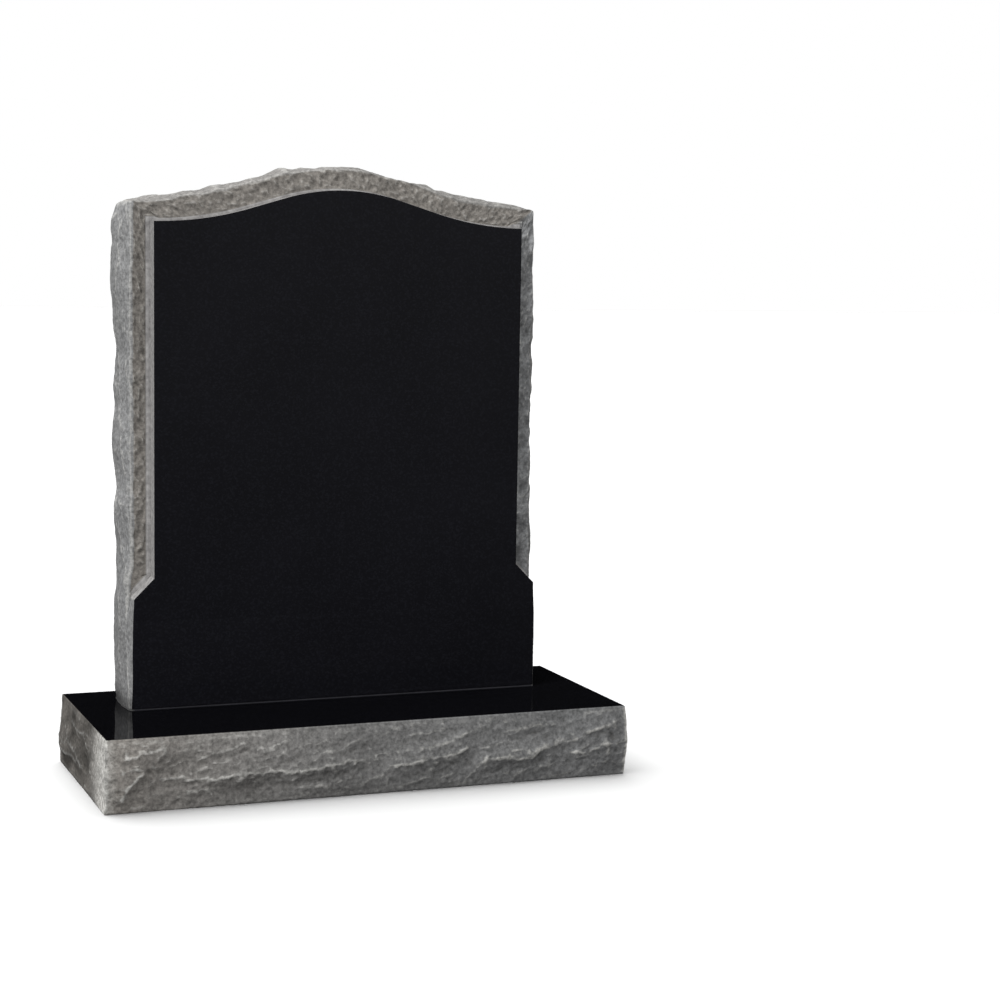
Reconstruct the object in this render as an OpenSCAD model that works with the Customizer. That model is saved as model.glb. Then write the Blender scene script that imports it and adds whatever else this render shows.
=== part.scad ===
// Upright granite headstone: a crested tablet with a raised polished panel, bedded on a
// rock-pitched base.  Millimetres, +Z up, front face towards -Y, origin at the middle of
// the base's underside.

/* [Base] */
// Width of the base's polished top
base_w = 762; // [600:1:1000]
// Depth of the base's polished top, front to back
base_d = 320; // [260:1:420]
// Height of the base
base_h = 102; // [75:1:150]
// How far the base's rock-pitched faces swell past the edges of its top
base_swell = 13; // [6:0.5:20]

/* [Tablet] */
// Width of the tablet's polished face across its foot
tablet_w = 612; // [500:1:740]
// Thickness of the tablet
tablet_t = 102; // [75:1:130]
// Height of the polished face, from the tablet's foot to its crown
panel_h = 740; // [600:1:900]
// Width of the ledge of base left behind the tablet
ledge_back = 44; // [20:1:60]
// How far the tablet's rock-pitched edges swell past its edge lines
tablet_swell = 15; // [6:0.5:20]

/* [Crest] */
// Rise of the crown above the ends of the crest
crest_rise = 49; // [25:1:70]
// Slope of the crest's flanks, as a multiple of the straight line from end to crown
flank_steepness = 1.7; // [1.3:0.05:1.9]
// Part of the crest's bend that is in the round crown, the rest being in the hollow ends
crown_share = 0.385; // [0.25:0.005:0.6]

/* [Rebate] */
// Width of the rough margin around the raised panel
margin_w = 29; // [15:0.5:40]
// Depth that the margin is cut back behind the polished face
rebate_depth = 25; // [10:0.5:40]
// Height above the foot where the panel widens to the tablet's full width
shoulder_h = 158; // [100:1:260]

/* [Setting bed] */
// Thickness of the bed of setting compound under the tablet
bed_h = 2; // [1:0.5:6]
// How far the bed stops short of the tablet's edges
bed_inset = 2; // [1:0.5:8]

/* [Rock pitching] */
// Length of one struck scoop
scoop_len = 170; // [100:1:240]
// Width of one struck scoop
scoop_w = 50; // [30:1:80]
// Lean of the scoops, in degrees from level
scoop_lean = 14; // [5:1:45]
// Size of a facet along a rock-pitched face
facet = 17; // [14:0.5:30]

/* [Hidden] */

granite = "#77776f";
compound = "#8f8e88";

bands = 8;          // facets across a rock-pitched face
spare = 6;          // rough stock that the sawn planes cut away
least_swell = 0.2;  // swell in the bottom of the deepest scoop, as part of the full swell
bowl = 1.2;         // how fast a scoop climbs to its rim
scoop_step = 0.6;   // how much deeper one scoop may be than its neighbour

face_y = base_d / 2 - ledge_back - tablet_t;  // plane of the polished face
foot_z = base_h + bed_h;                      // foot of the tablet
half_w = tablet_w / 2;
half_panel = half_w - margin_w;
crown_h = panel_h + margin_w;                 // tablet's edge line over the crown

// ---- crest: a round crown, straight flanks and hollow ends that finish level ----

// Drop of the crest line below the crown at x, for a crest that spans -half to +half
function crest_drop(x, half) =
    let (
        flank = atan(flank_steepness * crest_rise / half),
        bend = (flank_steepness - 1) * crest_rise / (1 / cos(flank) - 1),
        crown_r = crown_share * bend,
        end_r = bend - crown_r,
        crown_end = crown_r * sin(flank),
        hollow_start = half - end_r * sin(flank),
        d = min(abs(x), half)
    )
    d < crown_end ? crown_r - sqrt(crown_r ^ 2 - d ^ 2)
    : d < hollow_start ? crown_r * (1 - cos(flank)) + (d - crown_end) * tan(flank)
    : crest_rise - end_r + sqrt(end_r ^ 2 - (half - d) ^ 2);

// ---- rock pitching: scoops struck off side by side, which meet in sharp ridges ----

function chance(i, j, k) =
    let (s = sin(i * 127.1 + j * 311.7 + k * 74.7) * 43758.5453)
    s - floor(s);

// Height of the struck surface at (u, v) on face number k, from 0 to 1
function scoops(u, v, k) =
    let (
        p = (u * cos(scoop_lean) + v * sin(scoop_lean)) / scoop_len,
        q = (v * cos(scoop_lean) - u * sin(scoop_lean)) / scoop_w
    )
    min(1, min([
        for (i = [floor(p) - 1 : floor(p) + 1], j = [floor(q) - 1 : floor(q) + 1])
            let (
                along = p - i - 0.2 - 0.6 * chance(i, j, k),
                across = q - j - 0.2 - 0.6 * chance(i, j, k + 1)
            )
            scoop_step * chance(i, j, k + 2) + bowl * (along ^ 2 + across ^ 2)
    ]));

// Swell at (u, v), where t runs from 0 at one edge line to 1 at the other
function swell(u, v, t, k) =
    t <= 0 || t >= 1 ? 0
    : (4 * t * (1 - t)) ^ 0.45 * (least_swell + (1 - least_swell) * scoops(u, v, k));

// ---- solids made of stacked rings of points ----

// Two triangles for the square between a, b on one ring and c, d on the next
function pair(a, b, c, d) = [[a, b, c], [c, b, d]];

// Closed solid on rings that each run round the stone; every ring has half its points on
// one side and half on the other, so that its end caps are strips from side to side
module ringed(rings) {
    n = len(rings[0]);
    half = n / 2;
    last = (len(rings) - 1) * n;
    walls = [
        for (r = [0 : len(rings) - 2], i = [0 : n - 1])
            let (a = r * n + i, b = r * n + (i + 1) % n)
            each pair(a, b, a + n, b + n)
    ];
    caps = [
        for (i = [0 : half - 2])
            let (a = i, b = i + 1, c = n - 1 - i, d = n - 2 - i)
            each concat(
                c == d + 1 ? [[a, c, b], [c, d, b]] : [],
                [[last + a, last + b, last + c], [last + c, last + b, last + d]]
            )
    ];
    polyhedron([for (r = rings) each r], concat(walls, caps));
}

// ---- tablet ----

side_h = crown_h - crest_drop(half_w, half_w);  // edge line at the upper corners
side_n = ceil(side_h / facet);
crest_n = ceil(half_w / facet);

// Depth of band j at height z; the pitching starts behind the rebate above the shoulders
function band_y(j, z) =
    let (edge = z > shoulder_h ? rebate_depth : 0)
    j < 0 ? -spare : j > bands ? tablet_t + spare : edge + (tablet_t - edge) * j / bands;

// Swell of the tablet's side (k = 1 left, 3 right) or top (k = 2) at u along it, in band j
function tablet_side(u, j, k) =
    tablet_swell * swell(u, j * tablet_t / bands, j / bands, 10 * k);

// Half the outline in band j, from the foot up one side and along the crest to the crown
function tablet_half(j, side) =
    let (
        k = side < 0 ? 1 : 3,
        corner_out = tablet_side(side_h, j, k),
        corner_up = tablet_side(side * half_w, j, 2)
    )
    concat(
        [
            for (i = [0 : side_n])
                let (z = (side_h + spare) * i / side_n - spare)
                [
                    side * (half_w + tablet_side(z, j, k)),
                    band_y(j, z),
                    z + corner_up * i / side_n
                ]
        ],
        [
            for (i = [1 : crest_n])
                let (in = 1 - i / crest_n, x = side * half_w * in)
                [
                    x + side * corner_out * in,
                    band_y(j, side_h),
                    crown_h - crest_drop(x, half_w) + tablet_side(x, j, 2)
                ]
        ]
    );

function backwards(list) = [for (i = [len(list) - 1 : -1 : 0]) list[i]];

module rough_tablet() {
    ringed([
        for (j = [-1 : bands + 1])
            concat(tablet_half(j, -1), backwards(tablet_half(j, 1)))
    ]);
}

// Outline of the polished face, standing on z = 0
module panel_outline() {
    steps = 48;
    polygon(concat(
        [[half_w, -2 * spare], [half_w, shoulder_h], [half_panel, shoulder_h + margin_w]],
        [
            for (i = [0 : steps])
                let (x = half_panel * (1 - 2 * i / steps))
                [x, panel_h - crest_drop(x, half_panel)]
        ],
        [[-half_panel, shoulder_h + margin_w], [-half_w, shoulder_h], [-half_w, -2 * spare]]
    ));
}

module tablet() {
    reach = 2 * (tablet_w + panel_h);
    color(granite)
        translate([0, face_y, foot_z])
            difference() {
                rough_tablet();
                // sawn foot, polished front and sawn back
                translate([-reach / 2, -reach / 2, -reach]) cube(reach);
                translate([-reach / 2, -reach, -reach / 2]) cube(reach);
                translate([-reach / 2, tablet_t, -reach / 2]) cube(reach);
                // rebate around the raised panel
                translate([0, rebate_depth, 0])
                    rotate([90, 0, 0])
                        linear_extrude(rebate_depth + 2 * spare)
                            difference() {
                                translate([-reach / 2, shoulder_h]) square(reach);
                                panel_outline();
                            }
            }
}

// ---- setting bed ----

module setting_bed() {
    color(compound)
        translate([-half_w + bed_inset, face_y + bed_inset, base_h])
            cube([tablet_w - 2 * bed_inset, tablet_t - 2 * bed_inset, bed_h]);
}

// ---- base ----

long_n = ceil(base_w / facet);
short_n = ceil(base_d / facet);

// Swell of a face of the base (k = 5 front, 6 right, 7 back, 8 left) at u along it
function base_side(u, z, k) = base_swell * swell(u, z, z / base_h, 10 * k);

// One ring of the base at height z, counter-clockwise from the front left corner
function base_ring(z) =
    let (
        zs = max(0, min(base_h, z)),
        hw = base_w / 2,
        hd = base_d / 2,
        left = [for (e = [0, base_d]) hw + base_side(e, zs, 8)],
        right = [for (e = [0, base_d]) hw + base_side(e, zs, 6)],
        front = [for (e = [0, base_w]) hd + base_side(e, zs, 5)],
        back = [for (e = [0, base_w]) hd + base_side(e, zs, 7)]
    )
    concat(
        [for (i = [0 : long_n - 1]) let (t = i / long_n)
            [(1 - t) * -left[0] + t * right[0], -hd - base_side(t * base_w, zs, 5), z]],
        [for (i = [0 : short_n - 1]) let (t = i / short_n)
            [hw + base_side(t * base_d, zs, 6), (1 - t) * -front[1] + t * back[1], z]],
        [for (i = [0 : long_n - 1]) let (t = 1 - i / long_n)
            [(1 - t) * -left[1] + t * right[1], hd + base_side(t * base_w, zs, 7), z]],
        [for (i = [0 : short_n - 1]) let (t = 1 - i / short_n)
            [-hw - base_side(t * base_d, zs, 8), (1 - t) * -front[0] + t * back[0], z]]
    );

module rough_base() {
    levels = concat([-spare], [for (j = [0 : bands]) base_h * j / bands], [base_h + spare]);
    ringed([for (z = levels) base_ring(z)]);
}

module base() {
    reach = 2 * (base_w + base_d);
    color(granite)
        intersection() {
            rough_base();
            translate([-reach / 2, -reach / 2, 0]) cube([reach, reach, base_h]);
        }
}

tablet();
setting_bed();
base();
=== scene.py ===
import math

import bmesh
import bpy
import numpy as np
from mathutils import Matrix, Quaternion, Vector


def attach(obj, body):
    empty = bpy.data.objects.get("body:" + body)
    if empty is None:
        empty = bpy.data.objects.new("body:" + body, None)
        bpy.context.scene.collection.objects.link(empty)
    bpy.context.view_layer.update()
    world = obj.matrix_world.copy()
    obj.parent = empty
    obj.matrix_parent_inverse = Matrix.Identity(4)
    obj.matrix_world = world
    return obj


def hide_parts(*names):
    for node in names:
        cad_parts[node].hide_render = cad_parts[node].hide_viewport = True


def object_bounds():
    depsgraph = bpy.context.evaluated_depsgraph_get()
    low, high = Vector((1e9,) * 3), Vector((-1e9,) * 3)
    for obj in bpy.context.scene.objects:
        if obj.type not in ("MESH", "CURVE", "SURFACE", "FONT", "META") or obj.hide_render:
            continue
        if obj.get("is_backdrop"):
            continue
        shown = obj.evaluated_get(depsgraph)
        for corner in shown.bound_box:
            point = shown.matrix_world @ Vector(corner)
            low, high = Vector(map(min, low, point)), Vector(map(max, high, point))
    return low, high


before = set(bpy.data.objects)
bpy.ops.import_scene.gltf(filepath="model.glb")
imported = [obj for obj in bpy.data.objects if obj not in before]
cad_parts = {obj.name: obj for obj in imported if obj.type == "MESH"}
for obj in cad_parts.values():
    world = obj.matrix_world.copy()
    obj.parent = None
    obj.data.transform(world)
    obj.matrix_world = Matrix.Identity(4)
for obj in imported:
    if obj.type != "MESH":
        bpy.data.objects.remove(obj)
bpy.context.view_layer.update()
scene = bpy.context.scene

# ---- camera: a little lower than the top of the stone, about three metres off, and to the
# left of its front, so that the pitched left edges show beside the polished face ----

camera_azimuth = math.radians(17.6)   # left of square on
camera_distance = 3.12                # level distance from the middle of the stone
camera_height = 0.757
camera_roll = math.radians(0.97)
aim = Vector((0.2435, 0.0, 0.3912))   # the stone stands left of the middle of the view

camera = bpy.data.objects.new("camera", bpy.data.cameras.new("camera"))
scene.collection.objects.link(camera)
camera.location = (
    -camera_distance * math.sin(camera_azimuth),
    -camera_distance * math.cos(camera_azimuth),
    camera_height,
)
camera.rotation_mode = "QUATERNION"
camera.rotation_quaternion = (
    (aim - camera.location).to_track_quat("-Z", "Y")
    @ Quaternion((0, 0, 1), camera_roll)
)
camera.data.sensor_width = 36.0
camera.data.lens = 77.48
camera.data.clip_end = 100.0
scene.camera = camera

# ---- floor and light: three lamps for the stone, the main one broad and to its upper left,
# and a soft sky.  The white floor has a lamp of its own, overhead, that only the base shades ----


def linear(hex_colour):
    """sRGB hex colour as linear RGBA."""
    parts = [int(hex_colour[i:i + 2], 16) / 255 for i in (1, 3, 5)]
    return tuple(
        c / 12.92 if c <= 0.04045 else ((c + 0.055) / 1.055) ** 2.4 for c in parts
    ) + (1.0,)


def add_node(tree, kind, inputs=(), **settings):
    """Adds a node; inputs are values or sockets by name or number, in any order."""
    node = tree.nodes.new(kind)
    for key, value in settings.items():
        setattr(node, key, value)
    for key, value in dict(inputs).items():
        if isinstance(value, bpy.types.NodeSocket):
            tree.links.new(value, node.inputs[key])
        else:
            node.inputs[key].default_value = value
    return node


def new_material(name):
    """A new material, its node tree and its shader."""
    made = bpy.data.materials.new(name)
    made.use_nodes = True
    return made, made.node_tree, made.node_tree.nodes["Principled BSDF"]


floor_half = 24.0
floor_mesh = bpy.data.meshes.new("floor")
floor_mesh.from_pydata(
    [(x * floor_half, y * floor_half, 0.0) for x, y in ((-1, -1), (1, -1), (1, 1), (-1, 1))],
    [], [(0, 1, 2, 3)],
)
floor = bpy.data.objects.new("floor", floor_mesh)
scene.collection.objects.link(floor)
floor.visible_glossy = False
floor.visible_diffuse = False

floor_paint, _, shader = new_material("floor_white")
shader.inputs["Base Color"].default_value = linear("#a0a0a0")
shader.inputs["Roughness"].default_value = 1.0
shader.inputs["Specular IOR Level"].default_value = 0.0
floor_mesh.materials.append(floor_paint)
floor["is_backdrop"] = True

# the sky is brighter overhead and to the left; polished stone mirrors a dark room instead,
# with a low glow in front of it, and the camera sees white
world = bpy.data.worlds.new("studio")
scene.world = world
world.use_nodes = True
sky = world.node_tree
sky.nodes.clear()
ray = add_node(sky, "ShaderNodeLightPath")
way = add_node(sky, "ShaderNodeSeparateXYZ", {
    0: add_node(sky, "ShaderNodeTexCoord").outputs["Generated"]})
height = add_node(sky, "ShaderNodeMapRange", {
    "Value": way.outputs["Z"], "From Min": -0.5, "From Max": 0.9,
    "To Min": 0.18, "To Max": 0.68})
left = add_node(sky, "ShaderNodeMapRange", {
    "Value": way.outputs["X"], "From Min": -1.0, "From Max": 1.0,
    "To Min": 1.25, "To Max": 0.75})
sky_light = add_node(sky, "ShaderNodeMath", {0: height.outputs[0], 1: left.outputs[0]},
                     operation="MULTIPLY")
glow = add_node(sky, "ShaderNodeMapRange", {
    "Value": way.outputs["Z"], "From Min": -0.22, "From Max": 0.04, "To Max": 0.95})
fades = add_node(sky, "ShaderNodeMapRange", {
    "Value": way.outputs["Z"], "From Min": 0.05, "From Max": 0.20,
    "To Min": 1.0, "To Max": 0.12})
ahead = add_node(sky, "ShaderNodeMapRange", {
    "Value": way.outputs["Y"], "From Min": 0.0, "From Max": -0.5})
mirrored = add_node(sky, "ShaderNodeMath", {
    0: glow.outputs[0], 1: add_node(sky, "ShaderNodeMath", {
        0: fades.outputs[0], 1: ahead.outputs[0]}, operation="MULTIPLY").outputs[0],
    2: 0.004}, operation="MULTIPLY_ADD")
lit = add_node(sky, "ShaderNodeMix", {
    "Factor": ray.outputs["Is Glossy Ray"], 2: sky_light.outputs[0],
    3: mirrored.outputs[0]})
seen = add_node(sky, "ShaderNodeMix", {
    "Factor": ray.outputs["Is Camera Ray"], 2: lit.outputs[0], 3: 1.0})
add_node(sky, "ShaderNodeOutputWorld", {
    0: add_node(sky, "ShaderNodeBackground", {
        "Color": (1.0, 1.0, 1.0, 1.0), "Strength": seen.outputs[0]}).outputs[0]})

all_but_floor = bpy.data.collections.new("all_but_floor")
all_but_floor.objects.link(floor)
all_but_floor.collection_objects[0].light_linking.link_state = "EXCLUDE"
only_floor = bpy.data.collections.new("only_floor")
only_floor.objects.link(floor)
shades_floor = bpy.data.collections.new("shades_floor")     # the base is added below

for name, direction, strength, spread, shines_on in (
    ("key_light", (-0.78, -0.42, 0.90), 3.6, 30.0, all_but_floor),
    ("fill_light", (0.10, -1.0, 0.25), 0.45, 50.0, all_but_floor),
    ("back_light", (0.80, 0.75, 0.35), 1.5, 60.0, all_but_floor),
    ("floor_glow", (-0.20, 0.33, 1.0), 9.5, 83.0, only_floor),
):
    lamp = bpy.data.lights.new(name, "SUN")
    lamp.energy = strength
    lamp.angle = math.radians(spread)
    light = bpy.data.objects.new(name, lamp)
    light.rotation_mode = "QUATERNION"
    light.rotation_quaternion = Vector(direction).to_track_quat("Z", "Y")
    light.visible_glossy = False
    light.light_linking.receiver_collection = shines_on
    if shines_on is only_floor:
        light.light_linking.blocker_collection = shades_floor
    scene.collection.objects.link(light)

scene.view_settings.view_transform = "Standard"

# ---- base: one block of dark granite.  Its top is polished, its underside sawn, and its four
# faces are rock pitched: split off along straight arrises by a wide blunt chisel ----

# sizes are in mm until a mesh is made
MM = 0.001
base_w, base_d, base_h = 762.0, 320.0, 102.0
base_swell = 12.6      # how far the pitched faces stand past the arrises
cell = 2.0             # size of the mesh over pitched stone
scoop_len, scoop_w, scoop_lean = 170.0, 50.0, 14.0
least_swell = 0.2      # swell in the bottom of the deepest scoop


def chance(i, j, k):
    """A fixed random number, 0 to 1, for each cell (i, j) of pattern k."""
    s = np.sin(np.radians(i * 127.1 + j * 311.7 + k * 74.7)) * 43758.5453
    return s - np.floor(s)


def smooth(t):
    """Eases from 0 at t = 0 to 1 at t = 1."""
    t = np.clip(t, 0.0, 1.0)
    return t * t * (3 - 2 * t)


def scoops(u, v, k, length=scoop_len, width=scoop_w, lean=scoop_lean):
    """Height, 0 to 1, of hollows struck side by side that meet in sharp ridges."""
    a = math.radians(lean)
    p = (u * math.cos(a) + v * math.sin(a)) / length
    q = (v * math.cos(a) - u * math.sin(a)) / width
    best = np.ones(np.broadcast(p, q).shape)
    for di in (-1, 0, 1):
        for dj in (-1, 0, 1):
            i, j = np.floor(p) + di, np.floor(q) + dj
            along = p - i - 0.2 - 0.6 * chance(i, j, k)
            across = q - j - 0.2 - 0.6 * chance(i, j, k + 1)
            best = np.minimum(
                best, 0.6 * chance(i, j, k + 2) + 1.2 * (along**2 + across**2))
    return best


def drift(u, v, k, size):
    """Smooth noise, 0 to 1, with lumps about as large as size."""
    p, q = u / size, v / size
    i, j = np.floor(p), np.floor(q)
    a, b = smooth(p - i), smooth(q - j)
    return (
        (chance(i, j, k) * (1 - a) + chance(i + 1, j, k) * a) * (1 - b)
        + (chance(i, j + 1, k) * (1 - a) + chance(i + 1, j + 1, k) * a) * b
    )


def struck_lines(u, v, lines, above=22.0, below=13.0):
    """Height, 0 to 1, of sharp ridges along lines [(height, points), ...]; hollow flanks
    fall away from each, long above it and short below."""
    best = np.zeros(np.broadcast(u, v).shape)
    # the lines waver as they run
    v = v + (
        5.0 * (drift(u, v, 90, 46.0) - 0.5) + 4.5 * (drift(u, v, 91, 17.0) - 0.5)
        + 3.0 * (drift(u, v, 92, 6.0) - 0.5))
    for height_of, points in lines:
        pts = np.array(points, float)
        steps = np.diff(pts, axis=0)
        lengths = np.hypot(*steps.T)
        run, whole = 0.0, lengths.sum()
        near = np.full(best.shape, 1e9)
        value = np.zeros(best.shape)
        for (u0, v0), (du, dv), size in zip(pts[:-1], steps, lengths):
            t = ((u - u0) * du + (v - v0) * dv) / size**2
            inside = np.clip(t, 0, 1)
            off_u, off_v = u - u0 - inside * du, v - v0 - inside * dv
            d = np.hypot(off_u, off_v)
            side = np.where(du * off_v - dv * off_u > 0, above, below)
            share = (run + inside * size) / whole
            taper = np.minimum(1, 5 * np.minimum(share, 1 - share) + 0.15)
            closer = d < near
            near = np.where(closer, d, near)
            value = np.where(closer, height_of * taper * np.exp(-d / side), value)
            run += size
        best = np.maximum(best, value)
    return best


def crag(u, v, k):
    """Broken stone, 0 to 1, in small sharp steps that lean like the scoops do."""
    shift = 10.0 * (drift(u, v, k + 3, 22.0) - 0.5)
    p, q = u + 0.4 * v + shift, v - 0.14 * u + shift
    total = 0.0
    for share, long, short, i in (
            (0.38, 38.0, 14.0, 0), (0.34, 17.0, 8.0, 1), (0.28, 9.0, 5.0, 2)):
        d = drift(p / long, q / short, k + 10 + i, 1.0)
        total = total + share * (1 - np.abs(2 * d - 1))
    return total


def chisel_lines(length, across, k, count, rise=16.0):
    """Ridges by rule for a face that is length by across: each runs nearly level and then
    climbs, and starts a little below the end of the one before."""
    lines = []
    for i in range(count):
        start = length * (i + 0.6 * chance(i, 3, k)) / count
        low = across * (0.3 + 0.3 * chance(i, 5, k))
        run = length / count * (0.75 + 0.5 * chance(i, 7, k))
        up = rise * (0.5 + chance(i, 9, k))
        lines.append((0.55 + 0.45 * chance(i, 11, k), [
            (start, low), (start + 0.35 * run, low + 0.1 * up),
            (start + 0.7 * run, low + 0.4 * up), (start + run, low + up)]))
    return lines


def bulge(t):
    """Outward curve of a pitched face between its arrises, 0 to 1."""
    return np.clip(4 * t * (1 - t), 0, 1) ** 0.45


def struck_face(u, v, t, k, lines):
    """Swell of pitched face number k at (u, v), 0 to 1; t runs from arris to arris."""
    body = (
        0.29 * scoops(u, v, k)
        + 0.24 * scoops(u, v, k + 30, 64.0, 27.0, 12.0)
        + 0.21 * crag(u, v, k + 5)
        + 0.60 * struck_lines(u, v, lines) - 0.09
    )
    return bulge(t) * (least_swell + (1 - least_swell) * np.clip(body, 0, 1))


# ridges across the front of the base, in mm from its left end and its bottom
front_ridges = [
    (1.00, [(93, 41), (150, 38), (200, 43), (245, 42), (300, 44), (360, 50)]),
    (0.95, [(384, 41), (425, 42), (465, 45), (500, 54), (529, 64)]),
    (0.90, [(520, 36), (570, 36), (613, 40), (640, 53)]),
    (0.85, [(668, 35), (700, 40), (740, 50)]),
    (0.85, [(14, 12), (30, 34), (58, 62)]),
    (0.75, [(18, 72), (55, 81), (92, 91)]),
    (0.55, [(118, 68), (143, 76), (172, 81), (205, 91)]),
    (0.50, [(196, 74), (225, 79), (262, 92)]),
    (0.45, [(560, 76), (600, 79), (640, 88)]),
    (0.45, [(688, 66), (720, 72), (752, 84)]),
    (0.40, [(420, 82), (455, 84), (490, 93)]),
    (0.40, [(104, 22), (128, 26), (150, 36)]),
    (0.35, [(255, 16), (310, 19), (362, 30)]),
    (0.35, [(560, 14), (610, 17), (655, 27)]),
]

# ridges across its left end, in mm from the front and the bottom
left_ridges = [
    (0.95, [(140, 26), (190, 38), (255, 30), (320, 22)]),
    (0.75, [(96, 58), (140, 84), (195, 74), (262, 84)]),
    (0.60, [(40, 16), (78, 24), (112, 48)]),
]

along_x = np.linspace(0, base_w, round(base_w / cell) + 1)
along_y = np.linspace(0, base_d, round(base_d / cell) + 1)
levels = np.concatenate([[0, 0.7], np.linspace(2, base_h - 2, 50), [base_h - 0.7, base_h]])


def base_face(u, k, lines):
    """Swell in mm of the base's face number k, at u along it and at every level."""
    z = levels[None, :]
    return base_swell * struck_face(u[:, None], z, z / base_h, k, lines)


# 5 is the front, 6 the right end, 7 the back and 8 the left end
sides = {
    5: base_face(along_x, 50, front_ridges),
    6: base_face(along_y, 60, chisel_lines(base_d, base_h, 60, 3)) * 0.72,
    7: base_face(along_x, 70, chisel_lines(base_w, base_h, 70, 6)),
    8: base_face(along_y, 80, left_ridges) * 0.76,
}
# the left end stands out most below its middle, towards the back, and its foot runs proud
rear, low = smooth((along_y - 120) / 140)[:, None], levels[None, :]
sides[8] = np.clip(sides[8] + bulge(low / base_h) * rear * (
    3.2 * np.exp(-((low - 33) / 20) ** 2) - 2.6 * np.exp(-((low - 82) / 20) ** 2))
    + 2.8 * (1 - smooth(low / 22)), 0, 8.4)
hw, hd = base_w / 2, base_d / 2


def lane(u, length, start, end):
    """The two swells at the ends of a face, shared out along it."""
    t = (u / length)[:, None]
    return (1 - t) * start + t * end


left_at = [hw + sides[8][0], hw + sides[8][-1]]       # at the front and at the back
right_at = [hw + sides[6][0], hw + sides[6][-1]]
front_at = [hd + sides[5][0], hd + sides[5][-1]]      # at the left and at the right
back_at = [hd + sides[7][0], hd + sides[7][-1]]
blocks = [
    (lane(along_x, base_w, -left_at[0], right_at[0])[:-1], (-hd - sides[5])[:-1]),
    ((hw + sides[6])[:-1], lane(along_y, base_d, -front_at[1], back_at[1])[:-1]),
    (lane(along_x, base_w, -left_at[1], right_at[1])[:0:-1], (hd + sides[7])[:0:-1]),
    ((-hw - sides[8])[:0:-1], lane(along_y, base_d, -front_at[0], back_at[0])[:0:-1]),
]
ring_x = np.concatenate([b[0] for b in blocks])
ring_y = np.concatenate([b[1] for b in blocks])
base_points = np.stack([ring_x, ring_y, np.broadcast_to(levels, ring_x.shape)], 2)


def blurred(field, steps, wrap):
    """The grid of values, evened out with its neighbours step by step."""
    for _ in range(steps):
        for axis in (0, 1):
            pad = [(1, 1) if a == axis else (0, 0) for a in (0, 1)]
            f = np.pad(field, pad, mode="wrap" if wrap and axis == 0 else "edge")
            n = field.shape[axis]
            a, b = np.take(f, range(n), axis), np.take(f, range(2, n + 2), axis)
            field = (a + 2 * field + b) / 4
    return field


def grid_normals(points, wrap):
    """Outward direction at each point of a grid: columns anticlockwise, rows upwards."""
    if wrap:
        run = np.roll(points, -1, 0) - np.roll(points, 1, 0)
    else:
        run = np.gradient(points, axis=0)
    up = np.gradient(points, axis=1)
    n = np.cross(run, up)
    return n / np.maximum(np.linalg.norm(n, axis=2, keepdims=True), 1e-9)


def painted_highlight_and_shade(points, wrap, reach=3):
    """How far each point stands out from (+) or lies in (-) the stone around it, in mm, which
    sets the painted highlight on ridges and the painted shade in hollows.
    """
    n = grid_normals(points, wrap)
    soft = np.stack([blurred(points[:, :, a], reach, wrap) for a in range(3)], 2)
    return ((points - soft) * n).sum(2)


POLISHED, PITCHED, SAWN = 0, 1, 2      # the finish that each face is marked with


def closed_grid(points):
    """Numbers of the points of a grid that runs right round, and its quads."""
    columns, rows = points.shape[:2]
    index = np.arange(columns * rows).reshape(columns, rows)
    after = np.roll(index, -1, 0)
    quads = np.stack([index[:, :-1], after[:, :-1], after[:, 1:], index[:, 1:]], 2)
    return index, quads.reshape(-1, 4)


def stone_mesh(name, points, quads, finishes, caps, marks):
    """Mesh in metres from points in mm, quads and flat caps [(corners, finish), ...].
    marks are {attribute: values at the points}; doubles are merged."""
    mesh = bpy.data.meshes.new(name)
    faces = [tuple(q) for q in quads] + [tuple(c) for c, _ in caps]
    mesh.from_pydata((points * MM).tolist(), [], faces)
    for mark, values in marks.items():
        if values.ndim == 2:
            made = mesh.attributes.new(mark, "FLOAT_VECTOR", "POINT")
            made.data.foreach_set("vector", values.astype(np.float32).ravel())
        else:
            made = mesh.attributes.new(mark, "FLOAT", "POINT")
            made.data.foreach_set("value", values.astype(np.float32))
    finish = mesh.attributes.new("finish", "INT", "FACE")
    finish.data.foreach_set("value", np.array(list(finishes) + [f for _, f in caps], np.int32))
    shell = bmesh.new()
    shell.from_mesh(mesh)
    bmesh.ops.remove_doubles(shell, verts=shell.verts, dist=2e-6)
    bmesh.ops.dissolve_degenerate(shell, dist=1e-6, edges=shell.edges)
    bmesh.ops.recalc_face_normals(shell, faces=shell.faces)
    layer = shell.faces.layers.int["finish"]
    for edge in shell.edges:
        kinds = {f[layer] for f in edge.link_faces}
        sharp = 0.9 if kinds == {PITCHED} else 0.3
        edge.smooth = len(kinds) == 1 and edge.calc_face_angle(0) < sharp
    for face in shell.faces:
        face.smooth = True
    shell.to_mesh(mesh)
    shell.free()
    return mesh


index, base_quads = closed_grid(base_points)
base_normals = grid_normals(base_points, True)
depth_in = np.minimum(levels, base_h - levels)[None, :]
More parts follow.
